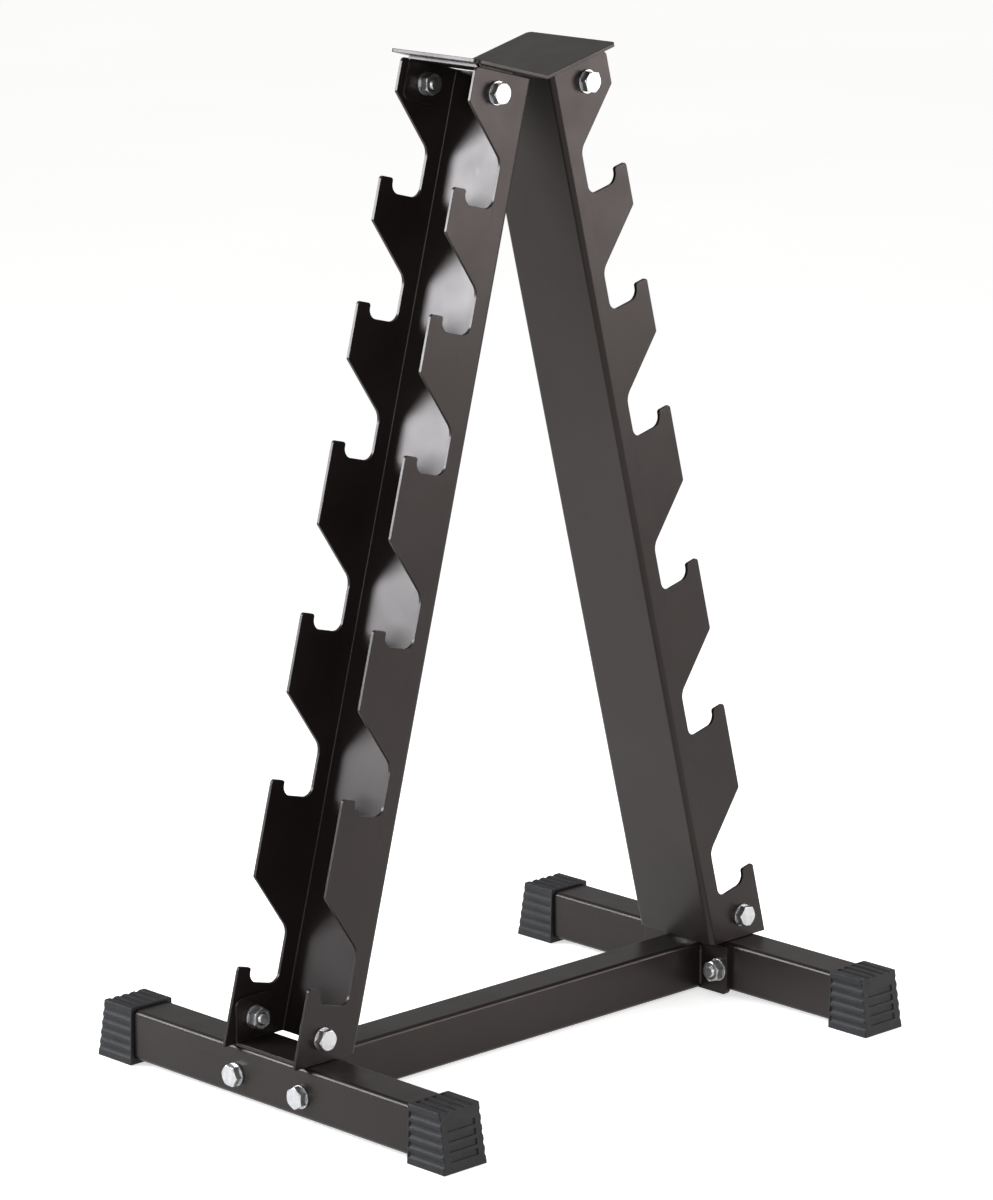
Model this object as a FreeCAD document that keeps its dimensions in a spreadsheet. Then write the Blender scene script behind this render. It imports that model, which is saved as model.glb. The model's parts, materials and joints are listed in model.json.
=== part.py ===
import FreeCAD, Part
import os
import Sketcher

# A-frame dumbbell rack: two leaning sheet-steel uprights on two rubber-capped foot tubes,
# tied together by a V-shaped plate at the top and a bolted crossbeam at the floor.
# Frame: X along the crossbeam, Y along the feet, Z up; origin on the floor at the rack's centre.
# A "side" is -1 for the left half and +1 for the right half; an "end" is -1 near and +1 far.

SIZES = {
    # Overall
    "foot_spacing": 505,
    "upright_top": 841,
    "web_gap": 22,
    "web_inset": 37.2,
    # Foot tubes
    "foot_tube_length": 406,
    "foot_tube_width": 40,
    "foot_tube_height": 44,
    "foot_lift": 4.5,
    "tube_wall": 2,
    "tube_corner": 4,
    # End caps
    "cap_length": 44,
    "cap_side_wall": 2.7,
    "cap_flare": 1.3,
    "cap_top_wall": 2.5,
    "cap_end_slope": 8,
    "cap_end_wall": 13,
    "cap_clearance": 0.2,
    "cap_edge": 1.2,
    "rib_radius": 4,
    "rib_depth": 1.4,
    "rib_start": 1.5,
    "louvre_width": 31,
    "louvre_depth": 1.2,
    "louvre_gap": 3,
    "louvre_top_margin": 12,
    "louvre_low_margin": 9,
    # Crossbeam and its end plates
    "beam_width": 38,
    "beam_height": 44,
    "beam_lift": 1.5,
    "end_plate_thickness": 5,
    "end_plate_margin": 10.5,
    "end_plate_corner": 5,
    "beam_bolt_spacing": 81,
    "beam_weld": 3.5,
    # Folded uprights
    "upright_width": 90,
    "flange_depth": 66,
    "flange_corner": 4,
    "sheet": 3,
    "bend": 1.5,
    "upright_clearance": 0.5,
    # Notches: distances down the web on an upright as long as notch_base
    "notch_base": 818,
    "tip_one": 29,
    "tip_two": 137,
    "tip_three": 253,
    "tip_four": 392,
    "tip_five": 534,
    "tip_six": 690,
    "mouth_one": 70,
    "mouth_two": 67,
    "mouth_three": 68,
    "mouth_four": 74,
    "mouth_five": 73,
    "mouth_six": 76,
    "seat_inner": 18.5,
    "lip_width": 14,
    "seat_depth": 12.5,
    "seat_corner_share": 0.7,
    "lip_corner_share": 0.2,
    "throat_drop": 42,
    "throat_bend": 14,
    "tip_corner": 3,
    # Top plate
    "top_plate_gap": 2.5,
    "top_plate_overhang": 7,
    "top_plate_corner": 5,
    # Brackets
    "bracket_inner": 19,
    "bracket_margin": 5,
    "bracket_corner": 8,
    "top_ear_drop": 34,
    "foot_ear_height": 40,
    "bracket_weld": 2,
    "weld_margin": 2,
    # Joints
    "top_bolt_out": 38,
    "top_bolt_drop": 17.3,
    "foot_bolt_rise": 21.5,
    "hole_radius": 5.5,
    # M10 fasteners
    "bolt_radius": 5,
    "bolt_tail": 2,
    "nut_hole_radius": 5.05,
    "hex_radius": 9.8,
    "hex_chamfer_radius": 8.2,
    "head_height": 6.4,
    "nut_height": 8.4,
    "washer_radius": 10,
    "washer_thickness": 2,
}

SIDE_NAMES = {-1: "left", 1: "right"}
END_NAMES = {-1: "near", 1: "far"}
TIERS = ("one", "two", "three", "four", "five", "six")
BEYOND = 20  # how far a cutting outline runs past the solid that it cuts
UP = FreeCAD.Vector(0, 0, 1)
TOUCH = 0.01  # how close an edge must be to a stated place to be the edge that is meant

# Expressions on the sheet that several sub-parts share
FOOT_TOP = "(Sizes.foot_lift + Sizes.foot_tube_height)"
RISE = f"(Sizes.upright_top - {FOOT_TOP})"
REACH = "(Sizes.foot_spacing / 2 - Sizes.web_inset - Sizes.web_gap / 2)"
LEAN = f"atan({REACH} / {RISE})"
LEG_LENGTH = f"({RISE} / cos({LEAN}))"
FOOT_BOLT_ACROSS = "((Sizes.foot_spacing - Sizes.web_gap) / 2)"
FOOT_BOLT_DOWN = f"({RISE} - Sizes.foot_bolt_rise)"
FLANGE_INSIDE = "(Sizes.upright_width / 2 - Sizes.sheet)"
EAR_INSIDE = "(Sizes.upright_width / 2 - 2 * Sizes.sheet)"
BEND_OUTSIDE = "(Sizes.bend + Sizes.sheet)"
SEAT_OUTER = "(Sizes.flange_depth - Sizes.lip_width)"
BRACKET_LENGTH = "(Sizes.flange_depth - Sizes.bracket_inner - Sizes.bracket_margin)"
PLATE_FACE = "(Sizes.foot_spacing / 2 - Sizes.foot_tube_width / 2 - Sizes.end_plate_thickness)"
BEAM_MIDDLE = "(Sizes.beam_lift + Sizes.beam_height / 2)"
CAP_TOP_HALF = "(Sizes.foot_tube_width / 2 + Sizes.cap_side_wall)"
CAP_FOOT_HALF = f"({CAP_TOP_HALF} + Sizes.cap_flare)"
CAP_HEIGHT = f"({FOOT_TOP} + Sizes.cap_top_wall)"
CAP_SLOPE = f"(Sizes.cap_end_slope / {CAP_HEIGHT})"
CAP_START = "(Sizes.foot_tube_length / 2 + Sizes.cap_end_wall - Sizes.cap_length)"

doc = FreeCAD.newDocument("dumbbell_rack")
nodes = {}


def fill_sheet():
    """Put every driving dimension in the sheet, with its name as the alias."""
    sheet = doc.addObject("Spreadsheet::Sheet", "Sizes")
    for row, (alias, size) in enumerate(SIZES.items(), start=1):
        sheet.set(f"A{row}", alias)
        sheet.set(f"B{row}", str(size))
        sheet.setAlias(f"B{row}", alias)
    doc.recompute()
    return sheet


sheet = fill_sheet()


def value(expression):
    """The number that an expression on the sheet has now."""
    return float(sheet.evalExpression(str(expression)))


def bind(target, **expressions):
    """Bind properties to the sheet; a double underscore in a name stands for a dot."""
    for name, expression in expressions.items():
        target.setExpression(name.replace("__", "."), str(expression))


def node(label, shape_object):
    """Give a finished sub-part its node name."""
    shape_object.Label = label
    nodes[label] = shape_object
    return shape_object


def new_body(label):
    return node(label, doc.addObject("PartDesign::Body", label))


def new_sketch(body, role, offset=0):
    """A sketch on one of the body's own origin planes, moved along the plane's normal by offset."""
    sketch = body.newObject("Sketcher::SketchObject", "Sketch")
    origin_plane = next(part for part in body.Origin.OriginFeatures if part.Role == role)
    sketch.AttachmentSupport = (origin_plane, [""])
    sketch.MapMode = "FlatFace"
    bind(sketch, AttachmentOffset__Base__z=offset)
    return sketch


def fix_point(sketch, geometry, point, across, along):
    """Hold one point of the sketch at two expressions."""
    for kind, expression in (("DistanceX", across), ("DistanceY", along)):
        constraint = Sketcher.Constraint(kind, -1, 1, geometry, point, value(expression))
        bind(sketch, **{f"Constraints[{sketch.addConstraint(constraint)}]": expression})


def outline(sketch, corners):
    """A closed outline of straight lines through corners, each a pair of expressions."""
    points = [FreeCAD.Vector(value(across), value(along), 0) for across, along in corners]
    first = sketch.GeometryCount
    for number, start in enumerate(points):
        sketch.addGeometry(Part.LineSegment(start, points[(number + 1) % len(points)]), False)
    for number in range(len(points)):
        following = first + (number + 1) % len(points)
        sketch.addConstraint(Sketcher.Constraint("Coincident", first + number, 2, following, 1))
    for number, (across, along) in enumerate(corners):
        fix_point(sketch, first + number, 1, across, along)


def rectangle(sketch, left, right, low, high):
    outline(sketch, [(left, low), (right, low), (right, high), (left, high)])


def circle(sketch, across, along, radius):
    centre = FreeCAD.Vector(value(across), value(along), 0)
    number = sketch.addGeometry(Part.Circle(centre, FreeCAD.Vector(0, 0, 1), value(radius)), False)
    fix_point(sketch, number, 3, across, along)
    constraint = sketch.addConstraint(Sketcher.Constraint("Radius", number, value(radius)))
    bind(sketch, **{f"Constraints[{constraint}]": radius})


def pad(body, sketch, length, symmetric=False, reverse=False):
    feature = body.newObject("PartDesign::Pad", "Pad")
    feature.Profile = sketch
    feature.SideType = "Symmetric" if symmetric else "One side"
    feature.Reversed = reverse
    bind(feature, Length=length)
    doc.recompute()
    return feature


def pocket(body, sketch, length=None, reverse=False):
    """Cut the sketch from the body: through everything both ways, or symmetrically to a length."""
    before = body.Shape.Volume
    feature = body.newObject("PartDesign::Pocket", "Pocket")
    feature.Profile = sketch
    if length is None:
        feature.SideType = "Symmetric"
        feature.Type = "ThroughAll"
    else:
        feature.SideType = "One side"
        feature.Reversed = reverse
        bind(feature, Length=length)
    doc.recompute()
    if body.Shape.Volume >= before:
        raise RuntimeError(f"a pocket in {body.Label} cuts nothing")
    return feature


def round_edges(body, radius, chosen):
    """Round every straight edge for which chosen(start, finish) is true."""
    base = body.Tip
    names = []
    for number, edge in enumerate(base.Shape.Edges, start=1):
        start = edge.Vertexes[0].Point
        finish = edge.Vertexes[-1].Point
        if start.distanceToPoint(finish) > TOUCH and chosen(start, finish):
            names.append(f"Edge{number}")
    if not names:
        raise RuntimeError(f"no edge to round in {body.Label}")
    feature = body.newObject("PartDesign::Fillet", "Fillet")
    feature.Base = (base, names)
    bind(feature, Radius=radius)
    doc.recompute()


def fillet(body, direction, places, radius):
    """Round the edges along direction (0, 1 or 2 for X, Y or Z) at places.

    Each place is a pair of expressions for the other two coordinates, in order.
    """
    across = [axis for axis in range(3) if axis != direction]
    spots = [(value(first), value(second)) for first, second in places]

    def at(point, spot):
        return all(abs(point[axis] - place) < TOUCH for axis, place in zip(across, spot))

    def chosen(start, finish):
        return any(at(start, spot) and at(finish, spot) for spot in spots)

    round_edges(body, radius, chosen)


def lean_body(body, side):
    """Stand a body that is drawn in an upright's own frame on its leaning web.

    That frame has its origin at the top of the web's inner face, X outward and Z up the web.
    """
    body.Placement.Rotation = FreeCAD.Rotation(FreeCAD.Vector(0, -side, 0), 1)
    bind(body, Placement__Rotation__Angle=LEAN)
    bind(body, Placement__Base__x=f"{side} * Sizes.web_gap / 2", Placement__Base__z="Sizes.upright_top")


def notch_corners(tier):
    """The corners of one notch as (outward, down) pairs: tip, throat, seat floor and lip."""
    tip = f"(Sizes.tip_{tier} * {LEG_LENGTH} / Sizes.notch_base)"
    lip = f"({tip} + Sizes.mouth_{tier} * {LEG_LENGTH} / Sizes.notch_base)"
    floor = f"({lip} + Sizes.seat_depth)"
    return {
        "tip": ("Sizes.flange_depth", tip),
        "throat": ("Sizes.seat_inner", f"({tip} + Sizes.throat_drop)"),
        "floor_inner": ("Sizes.seat_inner", floor),
        "floor_outer": (SEAT_OUTER, floor),
        "lip_inner": (SEAT_OUTER, lip),
        "lip": ("Sizes.flange_depth", lip),
    }


def make_upright(side):
    """One folded channel: the web faces the middle of the rack, the notched flanges face outward."""
    body = new_body(f"{SIDE_NAMES[side]}_upright")

    def out(expression):
        return f"{side} * {expression}"

    def place(corner):
        return out(corner[0]), f"-1 * {corner[1]}"

    half = "Sizes.upright_width / 2"
    depth = out("Sizes.flange_depth")
    section = new_sketch(body, "XY_Plane")
    outline(section, [
        ("0", f"-{half}"), (depth, f"-{half}"), (depth, f"-{FLANGE_INSIDE}"),
        (out("Sizes.sheet"), f"-{FLANGE_INSIDE}"), (out("Sizes.sheet"), FLANGE_INSIDE),
        (depth, FLANGE_INSIDE), (depth, half), ("0", half),
    ])
    pad(body, section, f"{LEG_LENGTH} + Sizes.flange_depth * tan({LEAN})", reverse=True)
    fillet(body, 2, [("0", half), ("0", f"-{half}")], BEND_OUTSIDE)
    fillet(body, 2, [(out("Sizes.sheet"), FLANGE_INSIDE), (out("Sizes.sheet"), f"-{FLANGE_INSIDE}")],
           "Sizes.bend")

    # The foot end is cut level with the floor, just above the foot tube
    level = f"(({RISE} - Sizes.upright_clearance) / cos({LEAN}))"
    inside = f"(-{BEYOND})"
    outside = f"(Sizes.flange_depth + {BEYOND})"
    cut = new_sketch(body, "XZ_Plane")
    outline(cut, [
        (out(inside), f"-{level} - {inside} * tan({LEAN})"),
        (out(outside), f"-{level} - {outside} * tan({LEAN})"),
        (out(outside), f"-2 * {level}"),
        (out(inside), f"-2 * {level}"),
    ])
    pocket(body, cut)

    notches = [notch_corners(tier) for tier in TIERS]
    for notch in notches:
        mouth = new_sketch(body, "XZ_Plane")
        path = [place(corner) for corner in notch.values()]
        outline(mouth, path + [(out(outside), path[-1][1]), (out(outside), path[0][1])])
        pocket(body, mouth)

    def round_off(names, radius):
        fillet(body, 1, [place(notch[name]) for notch in notches for name in names], radius)

    round_off(["throat"], "Sizes.throat_bend")
    round_off(["floor_inner", "floor_outer"], "Sizes.seat_depth * Sizes.seat_corner_share")
    round_off(["lip_inner"], "Sizes.seat_depth * Sizes.lip_corner_share")
    round_off(["tip", "lip"], "Sizes.tip_corner")
    fillet(body, 1, [(depth, "0")], "Sizes.flange_corner")

    holes = new_sketch(body, "XZ_Plane")
    circle(holes, out("Sizes.top_bolt_out"), "-Sizes.top_bolt_drop", "Sizes.hole_radius")
    circle(holes, out(f"({FOOT_BOLT_ACROSS} * cos({LEAN}) - {FOOT_BOLT_DOWN} * sin({LEAN}))"),
           f"-({FOOT_BOLT_ACROSS} * sin({LEAN}) + {FOOT_BOLT_DOWN} * cos({LEAN}))", "Sizes.hole_radius")
    pocket(body, holes)
    lean_body(body, side)


def folded_bracket(body, base_face, ear_end, middle, length):
    """A folded strip: a base whose outer face is at base_face and two ears that reach to ear_end."""
    inward = -1 if value(base_face) > value(ear_end) else 1
    base_inside = f"({base_face} + {inward} * Sizes.sheet)"
    strip = new_sketch(body, "YZ_Plane", middle)
    outline(strip, [
        (f"-{FLANGE_INSIDE}", ear_end), (f"-{FLANGE_INSIDE}", base_face), (FLANGE_INSIDE, base_face),
        (FLANGE_INSIDE, ear_end), (EAR_INSIDE, ear_end), (EAR_INSIDE, base_inside),
        (f"-{EAR_INSIDE}", base_inside), (f"-{EAR_INSIDE}", ear_end),
    ])
    pad(body, strip, length, symmetric=True)
    fillet(body, 0, [(FLANGE_INSIDE, base_face), (f"-{FLANGE_INSIDE}", base_face)],
           BEND_OUTSIDE)
    fillet(body, 0, [(EAR_INSIDE, base_inside), (f"-{EAR_INSIDE}", base_inside)], "Sizes.bend")
    half = f"{length} / 2"
    fillet(body, 1, [(f"{middle} - {half}", ear_end), (f"{middle} + {half}", ear_end)],
           "Sizes.bracket_corner")


def top_bracket_middle(side):
    return f"{side} * (Sizes.bracket_inner + {BRACKET_LENGTH} / 2)"


def make_top_bracket(side):
    """The folded bracket under the top plate; its ears lie inside the upright's flanges."""
    body = new_body(f"{SIDE_NAMES[side]}_top_bracket")
    folded_bracket(body, "Sizes.top_plate_gap", "-Sizes.top_ear_drop", top_bracket_middle(side),
                   BRACKET_LENGTH)
    hole = new_sketch(body, "XZ_Plane")
    circle(hole, f"{side} * Sizes.top_bolt_out", "-Sizes.top_bolt_drop", "Sizes.hole_radius")
    pocket(body, hole)
    lean_body(body, side)


def make_foot_bracket(side):
    """The folded bracket on the foot tube; its ears lie inside the upright's flanges."""
    body = new_body(f"{SIDE_NAMES[side]}_foot_bracket")
    folded_bracket(body, "0", "Sizes.foot_ear_height", "0", "Sizes.foot_tube_width")
    hole = new_sketch(body, "XZ_Plane")
    circle(hole, "0", "Sizes.foot_bolt_rise", "Sizes.hole_radius")
    pocket(body, hole)
    bind(body, Placement__Base__x=f"{side} * Sizes.foot_spacing / 2", Placement__Base__z=FOOT_TOP)


def make_top_plate():
    """One plate folded to a shallow V: each wing lies square to its upright and caps it."""
    body = new_body("top_plate")
    reach = "(Sizes.flange_depth + Sizes.top_plate_overhang)"
    width = "(Sizes.upright_width + 2 * Sizes.top_plate_overhang)"

    def wing(side, height):
        across = f"{reach} * cos({LEAN}) - {height} * sin({LEAN}) + Sizes.web_gap / 2"
        up = f"{reach} * sin({LEAN}) + {height} * cos({LEAN})"
        return f"{side} * ({across})", up

    def valley(height):
        return "0", f"{height} / cos({LEAN}) - Sizes.web_gap / 2 * tan({LEAN})"

    under = "Sizes.top_plate_gap"
    over = "(Sizes.top_plate_gap + Sizes.sheet)"
    fold = new_sketch(body, "XZ_Plane")
    outline(fold, [
        wing(-1, under), valley(under), wing(1, under), wing(1, over), valley(over), wing(-1, over),
    ])
    pad(body, fold, width, symmetric=True)
    fillet(body, 1, [valley(over)], "Sizes.bend")
    fillet(body, 1, [valley(under)], BEND_OUTSIDE)

    def wing_corner(start, finish):
        along_side = start.y * finish.y > 0 and abs(start.y - finish.y) < TOUCH
        return along_side and abs(start.distanceToPoint(finish) - value("Sizes.sheet")) < TOUCH

    round_edges(body, "Sizes.top_plate_corner", wing_corner)
    bind(body, Placement__Base__z="Sizes.upright_top")


def hollow_section(body, role, width, height, length):
    """A rounded rectangular tube, standing on the sketch's own across axis and centred on its plane."""
    half = f"{width} / 2"
    wall = "Sizes.tube_wall"
    outer = new_sketch(body, role)
    rectangle(outer, f"-{half}", half, "0", height)
    pad(body, outer, length, symmetric=True)
    direction = 1 if role == "XZ_Plane" else 0
    fillet(body, direction, [(f"{end} * {half}", level) for end in (-1, 1) for level in ("0", height)],
           "Sizes.tube_corner")
    bore = new_sketch(body, role)
    rectangle(bore, f"-{half} + {wall}", f"{half} - {wall}", wall, f"{height} - {wall}")
    pocket(body, bore)
    fillet(body, direction, [(f"{end} * ({half} - {wall})", level) for end in (-1, 1)
                             for level in (wall, f"{height} - {wall}")],
           "Sizes.tube_corner - Sizes.tube_wall")


def make_foot_tube(side):
    """A foot: a tube along Y, drilled across for the crossbeam's two bolts."""
    body = new_body(f"{SIDE_NAMES[side]}_foot_tube")
    hollow_section(body, "XZ_Plane", "Sizes.foot_tube_width", "Sizes.foot_tube_height",
                   "Sizes.foot_tube_length")
    holes = new_sketch(body, "YZ_Plane")
    for end in END_NAMES:
        circle(holes, f"{end} * Sizes.beam_bolt_spacing / 2", f"{BEAM_MIDDLE} - Sizes.foot_lift",
               "Sizes.hole_radius")
    pocket(body, holes)
    bind(body, Placement__Base__x=f"{side} * Sizes.foot_spacing / 2", Placement__Base__z="Sizes.foot_lift")


def make_crossbeam():
    body = new_body("crossbeam")
    hollow_section(body, "YZ_Plane", "Sizes.beam_width", "Sizes.beam_height", f"2 * {PLATE_FACE}")
    bind(body, Placement__Base__z="Sizes.beam_lift")


def make_end_plate(side):
    """The plate welded on the crossbeam's end and bolted to the foot tube's inner face."""
    body = new_body(f"{SIDE_NAMES[side]}_end_plate")
    half = "(Sizes.beam_bolt_spacing / 2 + Sizes.end_plate_margin)"
    blank = new_sketch(body, "YZ_Plane")
    rectangle(blank, f"-{half}", half, "0", "Sizes.beam_height")
    pad(body, blank, "Sizes.end_plate_thickness", symmetric=True)
    fillet(body, 0, [(f"{end} * {half}", level) for end in END_NAMES
                     for level in ("0", "Sizes.beam_height")], "Sizes.end_plate_corner")
    holes = new_sketch(body, "YZ_Plane")
    for end in END_NAMES:
        circle(holes, f"{end} * Sizes.beam_bolt_spacing / 2", "Sizes.beam_height / 2", "Sizes.hole_radius")
    pocket(body, holes)
    bind(body, Placement__Base__x=f"{side} * ({PLATE_FACE} + Sizes.end_plate_thickness / 2)",
         Placement__Base__z="Sizes.beam_lift")


def cap_end_face(height):
    """Where the cap's end face is at a height; it slopes in towards the top."""
    return f"(Sizes.cap_length - {CAP_SLOPE} * ({height}))"


def cap_block(body):
    """The cap's outside: wider at the floor, with a sloping end face and rounded upper edges."""
    block = new_sketch(body, "XZ_Plane")
    outline(block, [
        (f"-{CAP_FOOT_HALF}", "0"), (CAP_FOOT_HALF, "0"),
        (CAP_TOP_HALF, CAP_HEIGHT), (f"-{CAP_TOP_HALF}", CAP_HEIGHT),
    ])
    pad(body, block, "Sizes.cap_length", reverse=True)
    end_cut = new_sketch(body, "YZ_Plane")
    above = f"({CAP_HEIGHT} + {BEYOND})"
    outside = f"(Sizes.cap_length + {BEYOND})"
    outline(end_cut, [
        ("Sizes.cap_length", "0"), (outside, "0"), (outside, above), (cap_end_face(above), above),
    ])
    pocket(body, end_cut)

    top = value(CAP_HEIGHT)
    rim = 0

    def exposed(start, finish):
        """Edges round the end face and along the top, but not those on the floor or the open rim."""
        on_end_face = all(abs(point.y - value(cap_end_face(point.z))) < TOUCH for point in (start, finish))
        along_top = min(start.z, finish.z) > top - TOUCH and max(start.y, finish.y) > rim + TOUCH
        return (on_end_face and max(start.z, finish.z) > TOUCH) or along_top

    round_edges(body, "Sizes.cap_edge", exposed)


def cut_ribs(body):
    """Rounded grooves along the tube, from near the open rim right out through the end face.

    They are sunk in the cap's sides and top and leave ribs between them.
    """
    side_grooves = 5
    top_grooves = 4
    grooves = new_sketch(body, "XZ_Plane", "-Sizes.rib_start")
    out_of_face = "(Sizes.rib_radius - Sizes.rib_depth)"
    for number in range(1, side_grooves + 1):
        share = f"({number} / {side_grooves + 1})"
        face = f"({CAP_FOOT_HALF} - Sizes.cap_flare * {share})"
        for flank in (-1, 1):
            across = f"{flank} * ({face} + {out_of_face})"
            circle(grooves, across, f"{CAP_HEIGHT} * {share}", "Sizes.rib_radius")
    for number in range(1, top_grooves + 1):
        across = f"{CAP_TOP_HALF} * (2 * {number} / {top_grooves + 1} - 1)"
        circle(grooves, across, f"{CAP_HEIGHT} + {out_of_face}", "Sizes.rib_radius")
    pocket(body, grooves, "Sizes.cap_length")


def cut_louvres(body):
    """Plain level recesses, one above another, in the middle of the cap's end face."""
    louvres = 4
    span = f"({CAP_HEIGHT} - Sizes.louvre_low_margin - Sizes.louvre_top_margin)"
    pitch = f"(({span} + Sizes.louvre_gap) / {louvres})"
    outside = f"(Sizes.cap_length + {BEYOND})"
    recesses = new_sketch(body, "YZ_Plane", "-Sizes.louvre_width / 2")
    for number in range(louvres):
        low = f"(Sizes.louvre_low_margin + {number} * {pitch})"
        high = f"({low} + {pitch} - Sizes.louvre_gap)"
        outline(recesses, [
            (f"{cap_end_face(low)} - Sizes.louvre_depth", low), (outside, low),
            (outside, high), (f"{cap_end_face(high)} - Sizes.louvre_depth", high),
        ])
    pocket(body, recesses, "Sizes.louvre_width", reverse=True)


def make_end_cap(side, end):
    """A rubber cap that sleeves over the foot tube's end and stands on the floor.

    Its own frame has Y outward along the tube, from the cap's open rim.
    """
    body = new_body(f"{SIDE_NAMES[side]}_{END_NAMES[end]}_end_cap")
    cap_block(body)
    cut_ribs(body)
    cut_louvres(body)

    socket = new_sketch(body, "XZ_Plane")
    reach = "(Sizes.foot_tube_width / 2 + Sizes.cap_clearance)"
    low = "(Sizes.foot_lift - Sizes.cap_clearance)"
    high = f"({FOOT_TOP} + Sizes.cap_clearance)"
    rectangle(socket, f"-{reach}", reach, low, high)
    pocket(body, socket, "Sizes.cap_length - Sizes.cap_end_wall")
    fillet(body, 1, [(f"{flank} * {reach}", level) for flank in (-1, 1) for level in (low, high)],
           "Sizes.tube_corner + Sizes.cap_clearance")

    body.Placement.Rotation = FreeCAD.Rotation(UP, 0 if end > 0 else 180)
    bind(body, Placement__Base__x=f"{side} * Sizes.foot_spacing / 2",
         Placement__Base__y=f"{end} * {CAP_START}")


def primitive(kind, **expressions):
    """A Part primitive with its sizes and place bound to the sheet."""
    shape = doc.addObject(kind, kind.split("::")[1])
    bind(shape, **expressions)
    return shape


def combine(kind, base, tool):
    shape = doc.addObject(kind, kind.split("::")[1])
    shape.Base = base
    shape.Tool = tool
    return shape


def common(first, second):
    shape = doc.addObject("Part::MultiCommon", "Common")
    shape.Shapes = [first, second]
    return shape


def hexagon(height):
    """A hexagon from Z 0 to height, with its top corners turned off to a cone of 30 degrees."""
    blank = primitive("Part::Prism", Circumradius="Sizes.hex_radius", Height=height)
    blank.Polygon = 6
    turned = primitive("Part::Cone", Radius1=f"Sizes.hex_chamfer_radius + {height} / tan(30)",
                       Radius2="Sizes.hex_chamfer_radius", Height=height)
    return common(blank, turned)


def make_bolt(length):
    """A hex bolt: the head stands on Z 0, the shank hangs below it. The thread is left plain."""
    shank = primitive("Part::Cylinder", Radius="Sizes.bolt_radius", Height=length,
                      Placement__Base__z=f"-{length}")
    return combine("Part::Fuse", hexagon("Sizes.head_height"), shank)


def make_nut():
    hole = primitive("Part::Cylinder", Radius="Sizes.nut_hole_radius", Height="Sizes.nut_height")
    return combine("Part::Cut", hexagon("Sizes.nut_height"), hole)


def make_washer():
    disc = primitive("Part::Cylinder", Radius="Sizes.washer_radius", Height="Sizes.washer_thickness")
    hole = primitive("Part::Cylinder", Radius="Sizes.hole_radius", Height="Sizes.washer_thickness")
    return combine("Part::Cut", disc, hole)


def copies(label, master, places):
    """One object of identical separate solids: master repeated at places.

    Each place is the copy's rotation and the three expressions of its origin.
    """
    links = []
    for number, (rotation, (across, along, up)) in enumerate(places, start=1):
        link = doc.addObject("App::Link", f"{label}_{number}")
        link.LinkedObject = master
        link.Placement.Rotation = rotation
        bind(link, Placement__Base__x=across, Placement__Base__y=along, Placement__Base__z=up)
        links.append(link)
    group = doc.addObject("Part::Compound", label)
    group.Links = links
    return group


def bolted_joints(name, stack, spots):
    """The bolts, washers and nuts of one kind of joint, through a stack of that thickness.

    Each spot is the unit vector out of the stack on the head's side, and a function that gives
    the place at a distance from the stack's outer face, measured inward.
    """
    washer = "Sizes.washer_thickness"
    turn_between_joints = 25
    bolts, washers, nuts = [], [], []
    for number, (outward, at) in enumerate(spots):
        turn = FreeCAD.Rotation(UP, number * turn_between_joints)
        facing_out = FreeCAD.Rotation(UP, outward) * turn
        facing_in = FreeCAD.Rotation(UP, outward * -1) * turn
        bolts.append((facing_out, at(f"-{washer}")))
        washers.append((facing_out, at("0")))
        washers.append((facing_in, at(stack)))
        nuts.append((facing_in, at(f"{stack} + {washer}")))
    length = f"({stack} + 2 * {washer} + Sizes.nut_height + Sizes.bolt_tail)"
    node(f"{name}_bolts", copies(f"{name}_bolts", make_bolt(length), bolts))
    node(f"{name}_washers", copies(f"{name}_washers", make_washer(), washers))
    node(f"{name}_nuts", copies(f"{name}_nuts", make_nut(), nuts))


def joint_spot(side, end, outward, across, along, up):
    """A spot for bolted_joints.

    across, along and up are its place on the stack's outer face, for a side and an end of +1.
    """
    def at(distance):
        inward_x = f"{across} - ({distance})" if outward.x else across
        inward_y = f"{along} - ({distance})" if outward.y else along
        return f"{side} * ({inward_x})", f"{end} * ({inward_y})", up
    return outward, at


def make_fasteners():
    """M10 fasteners: heads outside on every joint, nuts inside."""
    out = "Sizes.top_bolt_out"
    down = "Sizes.top_bolt_drop"
    top_across = f"({out} * cos({LEAN}) + {down} * sin({LEAN}) + Sizes.web_gap / 2)"
    top_up = f"({out} * sin({LEAN}) - {down} * cos({LEAN}) + Sizes.upright_top)"
    flange_face = "Sizes.upright_width / 2"
    foot_across = "Sizes.foot_spacing / 2"
    foot_up = f"({FOOT_TOP} + Sizes.foot_bolt_rise)"
    tube_face = "(Sizes.foot_spacing / 2 + Sizes.foot_tube_width / 2)"
    beam_along = "Sizes.beam_bolt_spacing / 2"

    top_spots, foot_spots, beam_spots = [], [], []
    for side in SIDE_NAMES:
        for end in END_NAMES:
            along_y = FreeCAD.Vector(0, end, 0)
            along_x = FreeCAD.Vector(side, 0, 0)
            top_spots.append(joint_spot(side, end, along_y, top_across, flange_face, top_up))
            foot_spots.append(joint_spot(side, end, along_y, foot_across, flange_face, foot_up))
            beam_spots.append(joint_spot(side, end, along_x, tube_face, beam_along, BEAM_MIDDLE))
    bolted_joints("top", "2 * Sizes.sheet", top_spots)
    bolted_joints("foot", "2 * Sizes.sheet", foot_spots)
    bolted_joints("crossbeam", "(Sizes.foot_tube_width + Sizes.end_plate_thickness)", beam_spots)


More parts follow.
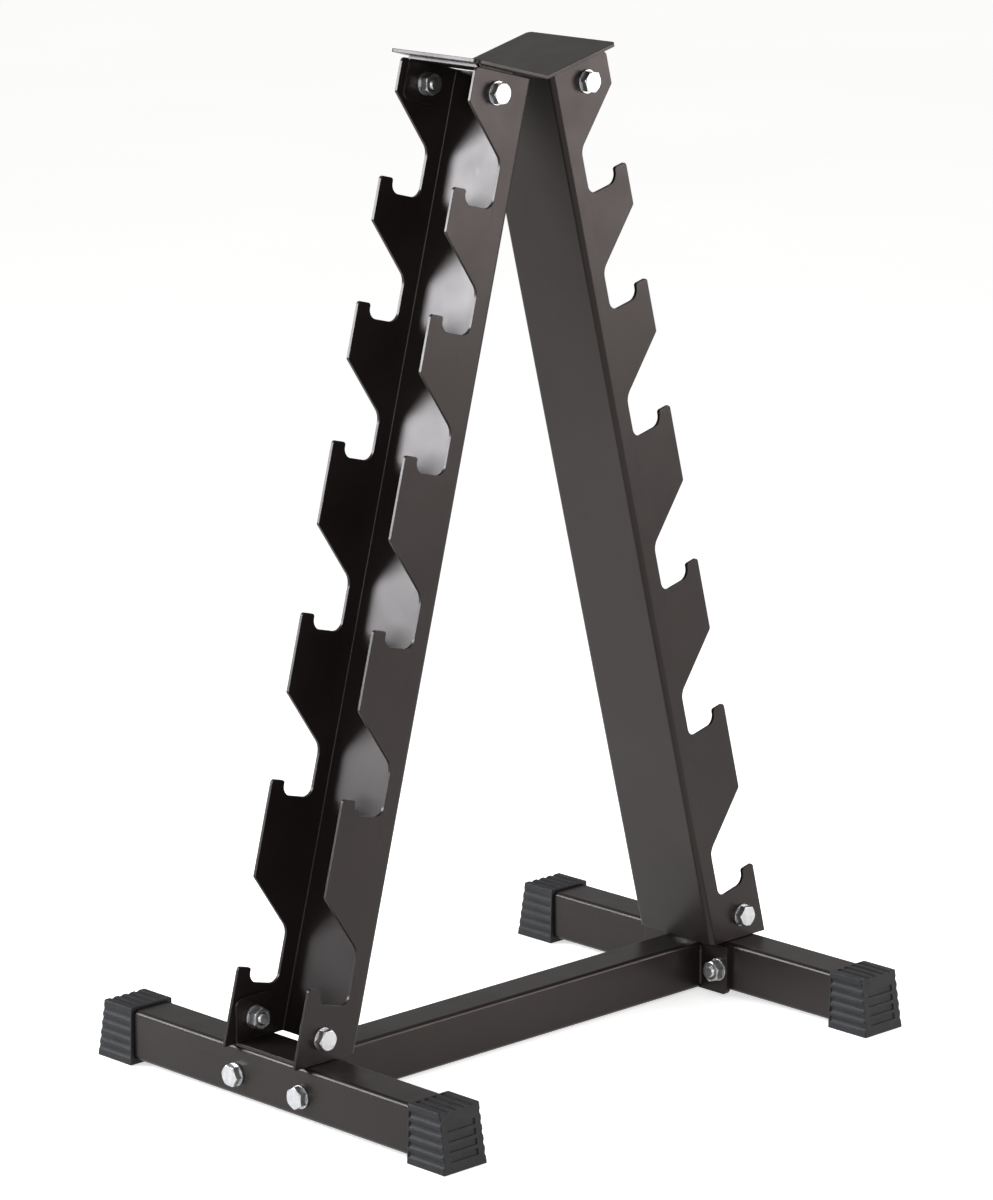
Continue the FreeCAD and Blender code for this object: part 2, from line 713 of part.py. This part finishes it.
def make_bracket_weld(length):
    """The weld in the groove outside a bracket's bend, along X and centred on it.

    The outer corner lies at Y 0, Z 0 and the bend curls from it towards -Y and -Z.
    """
    weld = "Sizes.bracket_weld"
    start = f"-{length} / 2"
    bar = primitive("Part::Box", Length=length, Width=weld, Height=weld, Placement__Base__x=start,
                    Placement__Base__y=f"-{weld}", Placement__Base__z=f"-{weld}")
    arc = primitive("Part::Cylinder", Radius=BEND_OUTSIDE, Height=length, Placement__Base__x=start,
                    Placement__Base__y=f"-{BEND_OUTSIDE}", Placement__Base__z=f"-{BEND_OUTSIDE}")
    arc.Placement.Rotation = FreeCAD.Rotation(FreeCAD.Vector(0, 1, 0), 90)
    return combine("Part::Cut", bar, arc)


def about_x(angle):
    return FreeCAD.Rotation(FreeCAD.Vector(1, 0, 0), angle)


def make_foot_bracket_welds():
    """Welds that hold the foot brackets on the foot tubes."""
    weld = make_bracket_weld("(Sizes.foot_tube_width - 2 * Sizes.weld_margin)")
    places = []
    for side in SIDE_NAMES:
        for end, turn in ((-1, 180), (1, -90)):
            corner = (f"{side} * Sizes.foot_spacing / 2", f"{end} * {FLANGE_INSIDE}", FOOT_TOP)
            places.append((about_x(turn), corner))
    node("foot_bracket_welds", copies("foot_bracket_welds", weld, places))


def make_top_bracket_welds():
    """Welds that hold the top brackets under the top plate, drawn in each upright's own frame."""
    weld = make_bracket_weld(f"({BRACKET_LENGTH} - 2 * Sizes.weld_margin)")
    leaning = []
    for side, side_name in SIDE_NAMES.items():
        places = []
        for end, turn in ((-1, 90), (1, 0)):
            corner = (top_bracket_middle(side), f"{end} * {FLANGE_INSIDE}", "Sizes.top_plate_gap")
            places.append((about_x(turn), corner))
        pair = copies(f"{side_name}_top_weld_pair", weld, places)
        lean_body(pair, side)
        leaning.append(pair)
    group = doc.addObject("Part::Compound", "top_bracket_welds")
    group.Links = leaning
    node("top_bracket_welds", group)


def make_end_plate_welds():
    """Fillet welds up both sides of the crossbeam, where it meets its end plates."""
    bead = primitive("Part::Cylinder", Radius="Sizes.beam_weld",
                     Height="Sizes.beam_height - 2 * Sizes.tube_corner")
    bead.Angle = 90
    places = []
    for side, end, turn in ((-1, 1, 0), (1, 1, 90), (1, -1, 180), (-1, -1, 270)):
        foot = (f"{side} * {PLATE_FACE}", f"{end} * Sizes.beam_width / 2",
                "Sizes.beam_lift + Sizes.tube_corner")
        places.append((FreeCAD.Rotation(UP, turn), foot))
    node("end_plate_welds", copies("end_plate_welds", bead, places))


def check_and_export():
    """Refuse to write anything unless every object recomputed and every node is a sound solid."""
    doc.recompute()
    for thing in doc.Objects:
        if {"Invalid", "Error"} & set(thing.State):
            raise RuntimeError(f"{thing.Label} is {thing.State}")
    for label, thing in nodes.items():
        if thing.Shape.isNull() or not thing.Shape.isValid() or not thing.Shape.Solids:
            raise RuntimeError(f"{label} has no sound solid")
    os.makedirs("parts", exist_ok=True)
    for label, thing in nodes.items():
        thing.Shape.exportStep(f"parts/{label}.step")


for side in SIDE_NAMES:
    make_upright(side)
    make_top_bracket(side)
    make_foot_tube(side)
    make_foot_bracket(side)
    make_end_plate(side)
    for end in END_NAMES:
        make_end_cap(side, end)
make_top_plate()
make_crossbeam()
make_fasteners()
make_foot_bracket_welds()
make_top_bracket_welds()
make_end_plate_welds()
check_and_export()
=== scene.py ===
"""Looks of the dumbbell rack: materials, detailed fasteners and welds, studio and camera.

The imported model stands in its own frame: +X along the crossbeam, +Y along the feet, +Z up, in metres.
"""
import json
import math

import bmesh
import bpy
import numpy as np
from mathutils import Matrix, Vector


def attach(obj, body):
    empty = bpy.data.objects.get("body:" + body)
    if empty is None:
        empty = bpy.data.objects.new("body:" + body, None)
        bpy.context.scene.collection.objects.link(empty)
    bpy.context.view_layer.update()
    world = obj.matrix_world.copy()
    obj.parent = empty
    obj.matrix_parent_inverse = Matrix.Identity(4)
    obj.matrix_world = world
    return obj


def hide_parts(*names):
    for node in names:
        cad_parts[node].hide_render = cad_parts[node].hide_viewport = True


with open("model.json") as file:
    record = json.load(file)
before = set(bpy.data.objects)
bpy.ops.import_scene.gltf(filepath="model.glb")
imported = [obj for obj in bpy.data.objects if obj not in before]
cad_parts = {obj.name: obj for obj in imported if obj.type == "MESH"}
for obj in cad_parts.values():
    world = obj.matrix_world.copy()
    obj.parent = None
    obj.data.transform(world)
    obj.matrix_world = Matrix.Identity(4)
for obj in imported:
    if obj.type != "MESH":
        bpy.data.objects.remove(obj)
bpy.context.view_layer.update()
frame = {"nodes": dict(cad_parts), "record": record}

NODES = frame["nodes"]
MM = 0.001
TURN = 2 * math.pi


# ---------------------------------------------------------------- node helpers

class Graph:
    """A material's node tree, with short calls to add nodes and join them."""

    def __init__(self, name):
        self.material = bpy.data.materials.new(name)
        self.material.use_nodes = True
        self.tree = self.material.node_tree
        self.shader = self.tree.nodes["Principled BSDF"]
        place = self.tree.nodes.new("ShaderNodeTexCoord")
        self.place = place.outputs["Object"]

    def add(self, kind, settings=None, **inputs):
        """A new node: settings are its properties, inputs its sockets by name (_ for a space)."""
        node = self.tree.nodes.new(f"ShaderNode{kind}")
        for name, value in (settings or {}).items():
            setattr(node, name, value)
        for name, value in inputs.items():
            self.put(node.inputs[name.replace("_", " ")], value)
        return node

    def put(self, socket, value):
        if isinstance(value, bpy.types.NodeSocket):
            self.tree.links.new(value, socket)
        else:
            socket.default_value = value

    def noise(self, size, detail=2.0, roughness=0.5, stretch=(1, 1, 1)):
        """Cloudy noise whose features are about size metres across."""
        mapping = self.add("Mapping", Vector=self.place, Scale=stretch)
        texture = self.add("TexNoise", Vector=mapping.outputs["Vector"], Scale=1 / size, Detail=detail,
                           Roughness=roughness)
        return texture.outputs["Fac"]

    def spread(self, value, low, high, start=0.3, end=0.7):
        """value, stretched from start..end to low..high."""
        node = self.add("MapRange", {"clamp": True}, Value=value)
        for name, number in (("From Min", start), ("From Max", end), ("To Min", low), ("To Max", high)):
            node.inputs[name].default_value = number
        return node.outputs["Result"]

    def maths(self, operation, *numbers):
        node = self.add("Math", {"operation": operation})
        for socket, number in zip(node.inputs, numbers):
            self.put(socket, number)
        return node.outputs[0]

    def blend(self, share, first, second):
        """A colour between first and second."""
        node = self.add("Mix", {"data_type": "RGBA"})
        self.put(node.inputs[0], share)
        self.put(node.inputs[6], first)
        self.put(node.inputs[7], second)
        return node.outputs[2]

    def bump(self, height, depth, normal=None):
        """A normal that follows height, depth metres deep."""
        node = self.add("Bump", Height=height, Distance=depth)
        if normal is not None:
            self.put(node.inputs["Normal"], normal)
        return node.outputs["Normal"]

    def edge_wear_and_highlight(self, reach, patches):
        """How pale a spot is painted, 0 to 1: near sharp edges within reach metres, broken up by patches;
        partly edge wear, partly a painted edge highlight.
        """
        rounded = self.add("Bevel", {"samples": 4}, Radius=reach)
        flat = self.add("NewGeometry")
        turn = self.add("VectorMath", {"operation": "DOT_PRODUCT"})
        self.put(turn.inputs[0], rounded.outputs["Normal"])
        self.put(turn.inputs[1], flat.outputs["Normal"])
        near_edge = self.spread(turn.outputs["Value"], 1, 0, 0.80, 0.985)
        return self.maths("MULTIPLY", near_edge, self.spread(patches, 0.15, 0.9, 0.40, 0.65))

    def shade(self, **inputs):
        for name, value in inputs.items():
            self.put(self.shader.inputs[name.replace("_", " ")], value)
        return self.material


def powder_coat():
    """Satin black powder coat: orange peel, a slow drift of tone and edges a little paler, partly as wear and
    partly as a painted edge highlight.
    """
    g = Graph("powder_coat_satin")
    drift = g.noise(0.09, detail=3)
    peel = g.noise(0.0022, detail=1)
    grain = g.noise(0.0006, detail=2)
    tone = g.blend(g.spread(drift, 0, 1), (0.0075, 0.0055, 0.0050, 1), (0.0110, 0.0086, 0.0080, 1))
    # paler edges: partly edge wear, partly a painted edge highlight
    wear_and_highlight = g.edge_wear_and_highlight(0.9 * MM, g.noise(0.006, detail=4))
    colour = g.blend(wear_and_highlight, tone, (0.045, 0.041, 0.039, 1))
    satin = g.spread(g.noise(0.03, detail=4), 0.30, 0.37)
    scuffs = g.spread(g.noise(0.004, detail=2, stretch=(1, 1, 0.08)), 0, 1, 0.62, 0.8)
    roughness = g.maths("MULTIPLY_ADD", scuffs, -0.05, satin)
    normal = g.bump(grain, 0.006 * MM, g.bump(peel, 0.022 * MM))
    return g.shade(Base_Color=colour, Roughness=roughness, Normal=normal, IOR=1.5, Specular_IOR_Level=0.24,
                   Specular_Tint=(1.0, 0.89, 0.85, 1))


def bright_zinc():
    """Bright zinc plate: a pale metal with fine turning marks, cloudy patches and paler edges, partly wear
    and partly a painted edge highlight.
    """
    g = Graph("bright_zinc_plate")
    cloud = g.noise(0.004, detail=3)
    plate = g.blend(g.spread(cloud, 0, 1), (0.54, 0.535, 0.525, 1), (0.41, 0.42, 0.44, 1))
    # paler edges: partly edge wear, partly a painted edge highlight
    wear_and_highlight = g.edge_wear_and_highlight(0.35 * MM, g.noise(0.002, detail=3))
    colour = g.blend(wear_and_highlight, plate, (0.68, 0.68, 0.67, 1))
    roughness = g.spread(g.noise(0.0015, detail=4), 0.30, 0.44)
    normal = g.bump(g.noise(0.0003, detail=3), 0.008 * MM)
    return g.shade(Base_Color=colour, Metallic=1.0, Roughness=roughness, Normal=normal)


def cap_rubber():
    """Moulded black rubber: matt, with a fine pebble grain, a grey bloom and paler rib edges, partly wear and
    partly a painted edge highlight.
    """
    g = Graph("cap_rubber_moulded")
    pebble = g.noise(0.0009, detail=3, roughness=0.6)
    bloom = g.noise(0.012, detail=3)
    base = g.blend(g.spread(bloom, 0, 1), (0.0072, 0.0068, 0.0076, 1), (0.0120, 0.0115, 0.0125, 1))
    # paler edges: partly edge wear, partly a painted edge highlight
    wear_and_highlight = g.edge_wear_and_highlight(1.0 * MM, g.noise(0.003, detail=3))
    colour = g.blend(wear_and_highlight, base, (0.042, 0.041, 0.043, 1))
    roughness = g.spread(pebble, 0.50, 0.64)
    normal = g.bump(pebble, 0.04 * MM)
    return g.shade(Base_Color=colour, Roughness=roughness, Normal=normal, IOR=1.5, Specular_IOR_Level=0.25)


def floor_paint():
    """A pale seamless sweep that glows a little, so that it stays near white right to the horizon."""
    g = Graph("floor_pale")
    colour = g.blend(g.spread(g.noise(0.6, detail=3), 0, 1), (0.83, 0.83, 0.83, 1), (0.86, 0.86, 0.855, 1))
    return g.shade(Base_Color=colour, Roughness=0.8, Specular_IOR_Level=0.2, Emission_Color=(1, 1, 1, 1),
                   Emission_Strength=0.59)


MATERIALS = {"powder_coat": powder_coat(), "bright_zinc": bright_zinc(), "cap_rubber": cap_rubber()}
SLOTS = {part["node"]: part["material_slot"] for part in frame["record"]["subparts"]}
FASTENER_JOINTS = {"top": 1, "foot": 1, "crossbeam": 0}  # each joint's axis: 0 along X, 1 along Y
BEAM_WELDS = "end_plate_welds"


# ---------------------------------------------------------------- CAD nodes that stay

def soften_edges(obj, width, segments):
    """Round every sharp edge of a carried-over node a little, as folded sheet and mouldings are."""
    weld = obj.modifiers.new("weld", "WELD")
    weld.merge_threshold = 0.002 * MM
    bevel = obj.modifiers.new("edges", "BEVEL")
    bevel.width = width
    bevel.segments = segments
    bevel.limit_method = "ANGLE"
    bevel.angle_limit = math.radians(28)
    bevel.use_clamp_overlap = False
    bevel.miter_outer = "MITER_ARC"
    normals = obj.modifiers.new("normals", "WEIGHTED_NORMAL")
    normals.weight = 100


def dress_cad_nodes():
    """Give every CAD node its slot's material, and finer edges where it stays in view."""
    replaced = {f"{joint}_{kind}" for joint in FASTENER_JOINTS for kind in ("bolts", "nuts", "washers")}
    replaced.add(BEAM_WELDS)
    edge_widths = {"powder_coat": 0.35 * MM, "cap_rubber": 0.3 * MM}
    for name, node in NODES.items():
        slot = SLOTS[name]
        node.data.materials.clear()
        node.data.materials.append(MATERIALS[slot])
        if name not in replaced and not name.endswith("welds"):
            soften_edges(node, edge_widths[slot], 2)


# ---------------------------------------------------------------- pieces in place of CAD nodes

def solids(name):
    """The separate solids of a CAD node, each as an array of its points."""
    mesh = bmesh.new()
    mesh.from_mesh(NODES[name].data)
    bmesh.ops.remove_doubles(mesh, verts=mesh.verts, dist=0.002 * MM)
    waiting = set(mesh.verts)
    found = []
    while waiting:
        stack = [waiting.pop()]
        points = []
        while stack:
            corner = stack.pop()
            points.append(tuple(corner.co))
            for edge in corner.link_edges:
                other = edge.other_vert(corner)
                if other in waiting:
                    waiting.remove(other)
                    stack.append(other)
        found.append(np.array(points))
    mesh.free()
    return sorted(found, key=lambda points: tuple(np.round(points.mean(axis=0), 5)))


def finish_piece(name, mesh, node, slot):
    """Turn a bmesh into the piece that stands for a CAD node."""
    bmesh.ops.recalc_face_normals(mesh, faces=mesh.faces)
    for face in mesh.faces:
        face.smooth = True
    data = bpy.data.meshes.new(name)
    mesh.to_mesh(data)
    mesh.free()
    data.materials.append(MATERIALS[slot])
    piece = bpy.data.objects.new(name, data)
    bpy.context.scene.collection.objects.link(piece)
    piece.modifiers.new("normals", "WEIGHTED_NORMAL").weight = 100
    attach(piece, "root")
    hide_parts(node)


def hex_angles():
    """Directions round a hexagon, closer together near its six corners."""
    near = (0, 1.5, 3.5, 7, 14, 22)
    offsets = sorted({-step for step in near} | set(near) | {30})
    return np.radians([corner * 60 + offset for corner in range(6) for offset in offsets])


ANGLES = hex_angles()


def hexagon(corner_radius):
    """The radius of a hexagon with slightly rounded corners, in each direction of ANGLES."""
    sharpness = 60
    flat = corner_radius * math.cos(math.radians(30))
    facing = [np.maximum(np.cos(ANGLES - math.radians(30 + 60 * side)), 0) ** sharpness for side in range(6)]
    return flat / np.sum(facing, axis=0) ** (1 / sharpness)


class Turned:
    """Rings of points about an axis, joined into a surface; heights run outward along the axis."""

    def __init__(self, mesh, centre, outward, first_corner):
        self.mesh = mesh
        self.centre = np.array(centre)
        self.outward = np.array(outward, dtype=float)
        self.first_corner = first_corner
        self.aside = np.cross(self.outward, first_corner)
        self.rings = []

    def ring(self, radius, height):
        """Add a ring; radius and height are numbers, or an array with one for each direction of ANGLES."""
        radius = np.broadcast_to(radius, ANGLES.shape)
        height = np.broadcast_to(height, ANGLES.shape)
        spots = (self.centre + np.outer(radius * np.cos(ANGLES), self.first_corner)
                 + np.outer(radius * np.sin(ANGLES), self.aside) + np.outer(height, self.outward))
        self.rings.append([self.mesh.verts.new(spot) for spot in spots])

    def join(self, closed):
        """Face the rings in order; a closed surface meets its own start, an open one is capped flat."""
        count = len(ANGLES)
        pairs = list(zip(self.rings, self.rings[1:]))
        if closed:
            pairs.append((self.rings[-1], self.rings[0]))
        for low, high in pairs:
            for number in range(count):
                following = (number + 1) % count
                self.mesh.faces.new((low[number], low[following], high[following], high[number]))
        if not closed:
            self.mesh.faces.new(self.rings[0])
            self.mesh.faces.new(self.rings[-1])


def measure(points, axis):
    """A fastener's middle, its spread along the axis and the distance of each point from that axis."""
    low, high = points.min(axis=0), points.max(axis=0)
    middle = (low + high) / 2
    across = points - middle
    across[:, axis] = 0
    return middle, low[axis], high[axis], across, np.linalg.norm(across, axis=1)


def hex_wall(turned, corner_radius, base, top, chamfer_base):
    """The six flats from base to top, turned to a cone of 30 degrees at the top and perhaps the base."""
    corners = hexagon(corner_radius)
    inside = corner_radius * 0.837
    slope = math.tan(math.radians(30))
    edge = 0.15 * MM
    drop = (corners - inside) * slope
    if chamfer_base:
        turned.ring(inside - edge, base)
        turned.ring(inside + edge, base + edge * slope)
        turned.ring(corners - edge, base + drop - edge * slope)
        turned.ring(corners, base + drop + edge)
    else:
        turned.ring(corners - edge, base)
        turned.ring(corners, base + edge)
    turned.ring(corners, top - drop - edge)
    turned.ring(corners - edge, top - drop + edge * slope)
    turned.ring(inside + edge, top - edge * slope)
    turned.ring(inside - edge, top)


def thread_radius(height, crest, depth, pitch):
    """The radius of a right-hand thread in each direction, at a height."""
    phase = (height / pitch - ANGLES / TURN) % 1
    return crest - depth * np.abs(2 * phase - 1)


def add_bolt(mesh, points, axis):
    """A hex bolt: shank, a cut thread at the tip and a chamfered head."""
    middle, low, high, across, radii = measure(points, axis)
    outward = np.zeros(3)
    outward[axis] = math.copysign(1, middle[axis])
    along = (points - middle) @ outward
    head = along[radii > radii.max() * 0.7].min()
    shank = radii[(along < head - 0.1 * MM) & (radii > MM)].max()
    length = head - along.min()
    centre = middle + outward * head
    turned = Turned(mesh, centre, outward, across[radii.argmax()] / radii.max())
    pitch = 1.5 * MM
    depth = 0.8 * MM
    tip = 0.9 * MM
    threaded = 4 * MM
    steps = 24
    for step in range(steps + 1):
        from_end = threaded * step / steps
        cut = thread_radius(from_end, shank, depth, pitch)
        cone = shank - depth + max(from_end - 0.05 * MM, 0) / tip * depth
        fade = min(1, (threaded - from_end) / pitch)
        turned.ring(np.minimum(shank - (shank - cut) * fade, cone), from_end - length)
    turned.ring(shank, -0.2 * MM)
    turned.ring(shank + 0.2 * MM, 0)
    hex_wall(turned, radii.max(), 0, along.max() - head, False)
    turned.join(False)


def add_nut(mesh, points, axis):
    """A hex nut, chamfered on both faces, with a countersunk threaded bore."""
    middle, low, high, across, radii = measure(points, axis)
    outward = np.zeros(3)
    outward[axis] = -math.copysign(1, middle[axis])
    height = high - low
    turned = Turned(mesh, middle - outward * height / 2, outward, across[radii.argmax()] / radii.max())
    bore = radii.min()
    sink = 0.6 * MM
    turned.ring(bore + sink, 0)
    hex_wall(turned, radii.max(), 0, height, True)
    turned.ring(bore + sink, height)
    pitch = 1.5 * MM
    steps = 30
    for step in range(steps + 1):
        up = (height - 2 * sink) * (1 - step / steps)
        turned.ring(bore + 0.25 * MM - (thread_radius(up, 0, 0.25 * MM, pitch) + 0.25 * MM), up + sink)
    turned.join(True)


def add_washer(mesh, points, axis):
    """A flat washer with punched, slightly rounded edges."""
    middle, low, high, across, radii = measure(points, axis)
    outward = np.zeros(3)
    outward[axis] = 1
    thickness = high - low
    turned = Turned(mesh, middle - outward * thickness / 2, outward, np.roll(outward, 1))
    edge = 0.3 * MM
    outer, bore = radii.max(), radii.min()
    for radius, height in ((bore, edge), (bore + edge / 3, edge / 3), (bore + edge, 0), (outer - edge, 0),
                           (outer - edge / 3, edge / 3), (outer, edge), (outer, thickness - edge),
                           (outer - edge / 3, thickness - edge / 3), (outer - edge, thickness),
                           (bore + edge, thickness), (bore + edge / 3, thickness - edge / 3),
                           (bore, thickness - edge)):
        turned.ring(radius, height)
    turned.join(True)


def make_fasteners():
    """One detailed piece in place of each joint's bolts, nuts and washers."""
    builders = {"bolts": add_bolt, "nuts": add_nut, "washers": add_washer}
    for joint, axis in FASTENER_JOINTS.items():
        for kind, build in builders.items():
            name = f"{joint}_{kind}"
            mesh = bmesh.new()
            for points in solids(name):
                build(mesh, points, axis)
            finish_piece(f"{name}_detailed", mesh, name, SLOTS[name])


def add_bead(mesh, points):
    """A rippled fillet weld up the corner between the crossbeam's side and an end plate."""
    low, high = points.min(axis=0), points.max(axis=0)
    middle = (low + high) / 2
    toward_beam = -math.copysign(1, middle[0])
    away = math.copysign(1, middle[1])
    corner_x = high[0] if middle[0] > 0 else low[0]
    corner_y = low[1] if middle[1] > 0 else high[1]
    size = min(high[0] - low[0], high[1] - low[1])
    stations = 110
    spokes = 9
    ripple = 1.7 * MM
    rows = []
    for station in range(stations + 1):
        share = station / stations
        up = low[2] + (high[2] - low[2]) * share
        row = [mesh.verts.new((corner_x, corner_y, up))]
        taper = min(1, 6 * share + 0.45, 6 * (1 - share) + 0.45)
        for spoke in range(spokes + 1):
            angle = math.pi / 2 * spoke / spokes
            bow = 1.1 * MM * math.sin(2 * angle)
            wave = abs(math.sin(math.pi * (up + bow) / ripple))
            reach = size * taper * (0.86 + 0.12 * wave * math.sin(2 * angle) + 0.02 * math.sin(up / (3 * MM)))
            row.append(mesh.verts.new((corner_x + toward_beam * reach * math.cos(angle),
                                       corner_y + away * reach * math.sin(angle), up)))
        rows.append(row)
    count = spokes + 2
    for low_row, high_row in zip(rows, rows[1:]):
        for number in range(count):
            following = (number + 1) % count
            mesh.faces.new((low_row[number], low_row[following], high_row[following], high_row[number]))
    mesh.faces.new(rows[0])
    mesh.faces.new(rows[-1])


def make_beam_welds():
    mesh = bmesh.new()
    for points in solids(BEAM_WELDS):
        add_bead(mesh, points)
    finish_piece(f"{BEAM_WELDS}_detailed", mesh, BEAM_WELDS, SLOTS[BEAM_WELDS])


dress_cad_nodes()
make_fasteners()
make_beam_welds()


# ---------------------------------------------------------------- studio

def look_along(obj, direction):
    obj.rotation_mode = "QUATERNION"
    obj.rotation_quaternion = Vector(direction).to_track_quat("-Z", "Y")


def direction_from(azimuth, elevation):
    """Unit vector from the rack towards a stand at azimuth (0 in front, 90 on the right) and elevation."""
    a, e = math.radians(azimuth), math.radians(elevation)
    return Vector((math.sin(a) * math.cos(e), -math.cos(a) * math.cos(e), math.sin(e)))


def add_camera():
    data = bpy.data.cameras.new("camera")
    data.lens = 152.3
    data.sensor_width = 36
    data.clip_end = 50
    camera = bpy.data.objects.new("camera", data)
    bpy.context.scene.collection.objects.link(camera)
    aim = Vector((-0.0043, 0.0042, 0.3922))
    back = direction_from(-44.2, 13.32)
    camera.location = aim + back * 4.3117
    look_along(camera, -back)
    bpy.context.scene.camera = camera


def add_softbox(name, place, aim, width, height, radiance, tint=(1, 1, 1), spread=180):
    """A rectangular softbox from place towards aim; a spread under 180 degrees is a grid on its front."""
    data = bpy.data.lights.new(name, "AREA")
    data.shape = "RECTANGLE"
    data.size = width
    data.size_y = height
    data.energy = radiance * math.pi * width * height
    data.spread = math.radians(spread)
    data.color = tint
    light = bpy.data.objects.new(name, data)
    bpy.context.scene.collection.objects.link(light)
    light.location = place
    look_along(light, Vector(aim) - Vector(place))


def add_studio():
    size = 30
    mesh = bpy.data.meshes.new("floor")
    half = size / 2
    corners = [(-half, -half, 0), (half, -half, 0), (half, half, 0), (-half, half, 0)]
    mesh.from_pydata(corners, [], [(0, 1, 2, 3)])
    floor = bpy.data.objects.new("floor", mesh)
    floor.location.z = -0.5 * MM
    mesh.materials.append(floor_paint())
    bpy.context.scene.collection.objects.link(floor)

    world = bpy.data.worlds.new("studio")
    bpy.context.scene.world = world
    world.use_nodes = True
    background = world.node_tree.nodes["Background"]
    background.inputs["Color"].default_value = (1.0, 0.99, 0.98, 1)
    background.inputs["Strength"].default_value = 0.44

    middle = (0, 0, 0.45)
    add_softbox("rim_left_back", (-1.5, 1.5, 1.15), (0, 0, 0.6), 1.0, 1.1, 4.2, (0.88, 0.94, 1.0), 60)
    add_softbox("key_front_right", (1.5, -1.65, 0.76), middle, 1.0, 0.9, 1.6, (1.0, 0.94, 0.95), 70)
    add_softbox("fill_front_left", (-2.1, -2.5, 1.2), middle, 0.6, 1.0, 1.6, spread=50)
    add_softbox("fill_right", (2.5, 0.4, 1.0), middle, 0.9, 1.2, 1.2, spread=60)
    add_softbox("overhead", (0, 0, 3), middle, 2.5, 2.5, 1.2)
    bpy.context.scene.view_settings.view_transform = "Standard"


add_camera()
add_studio()
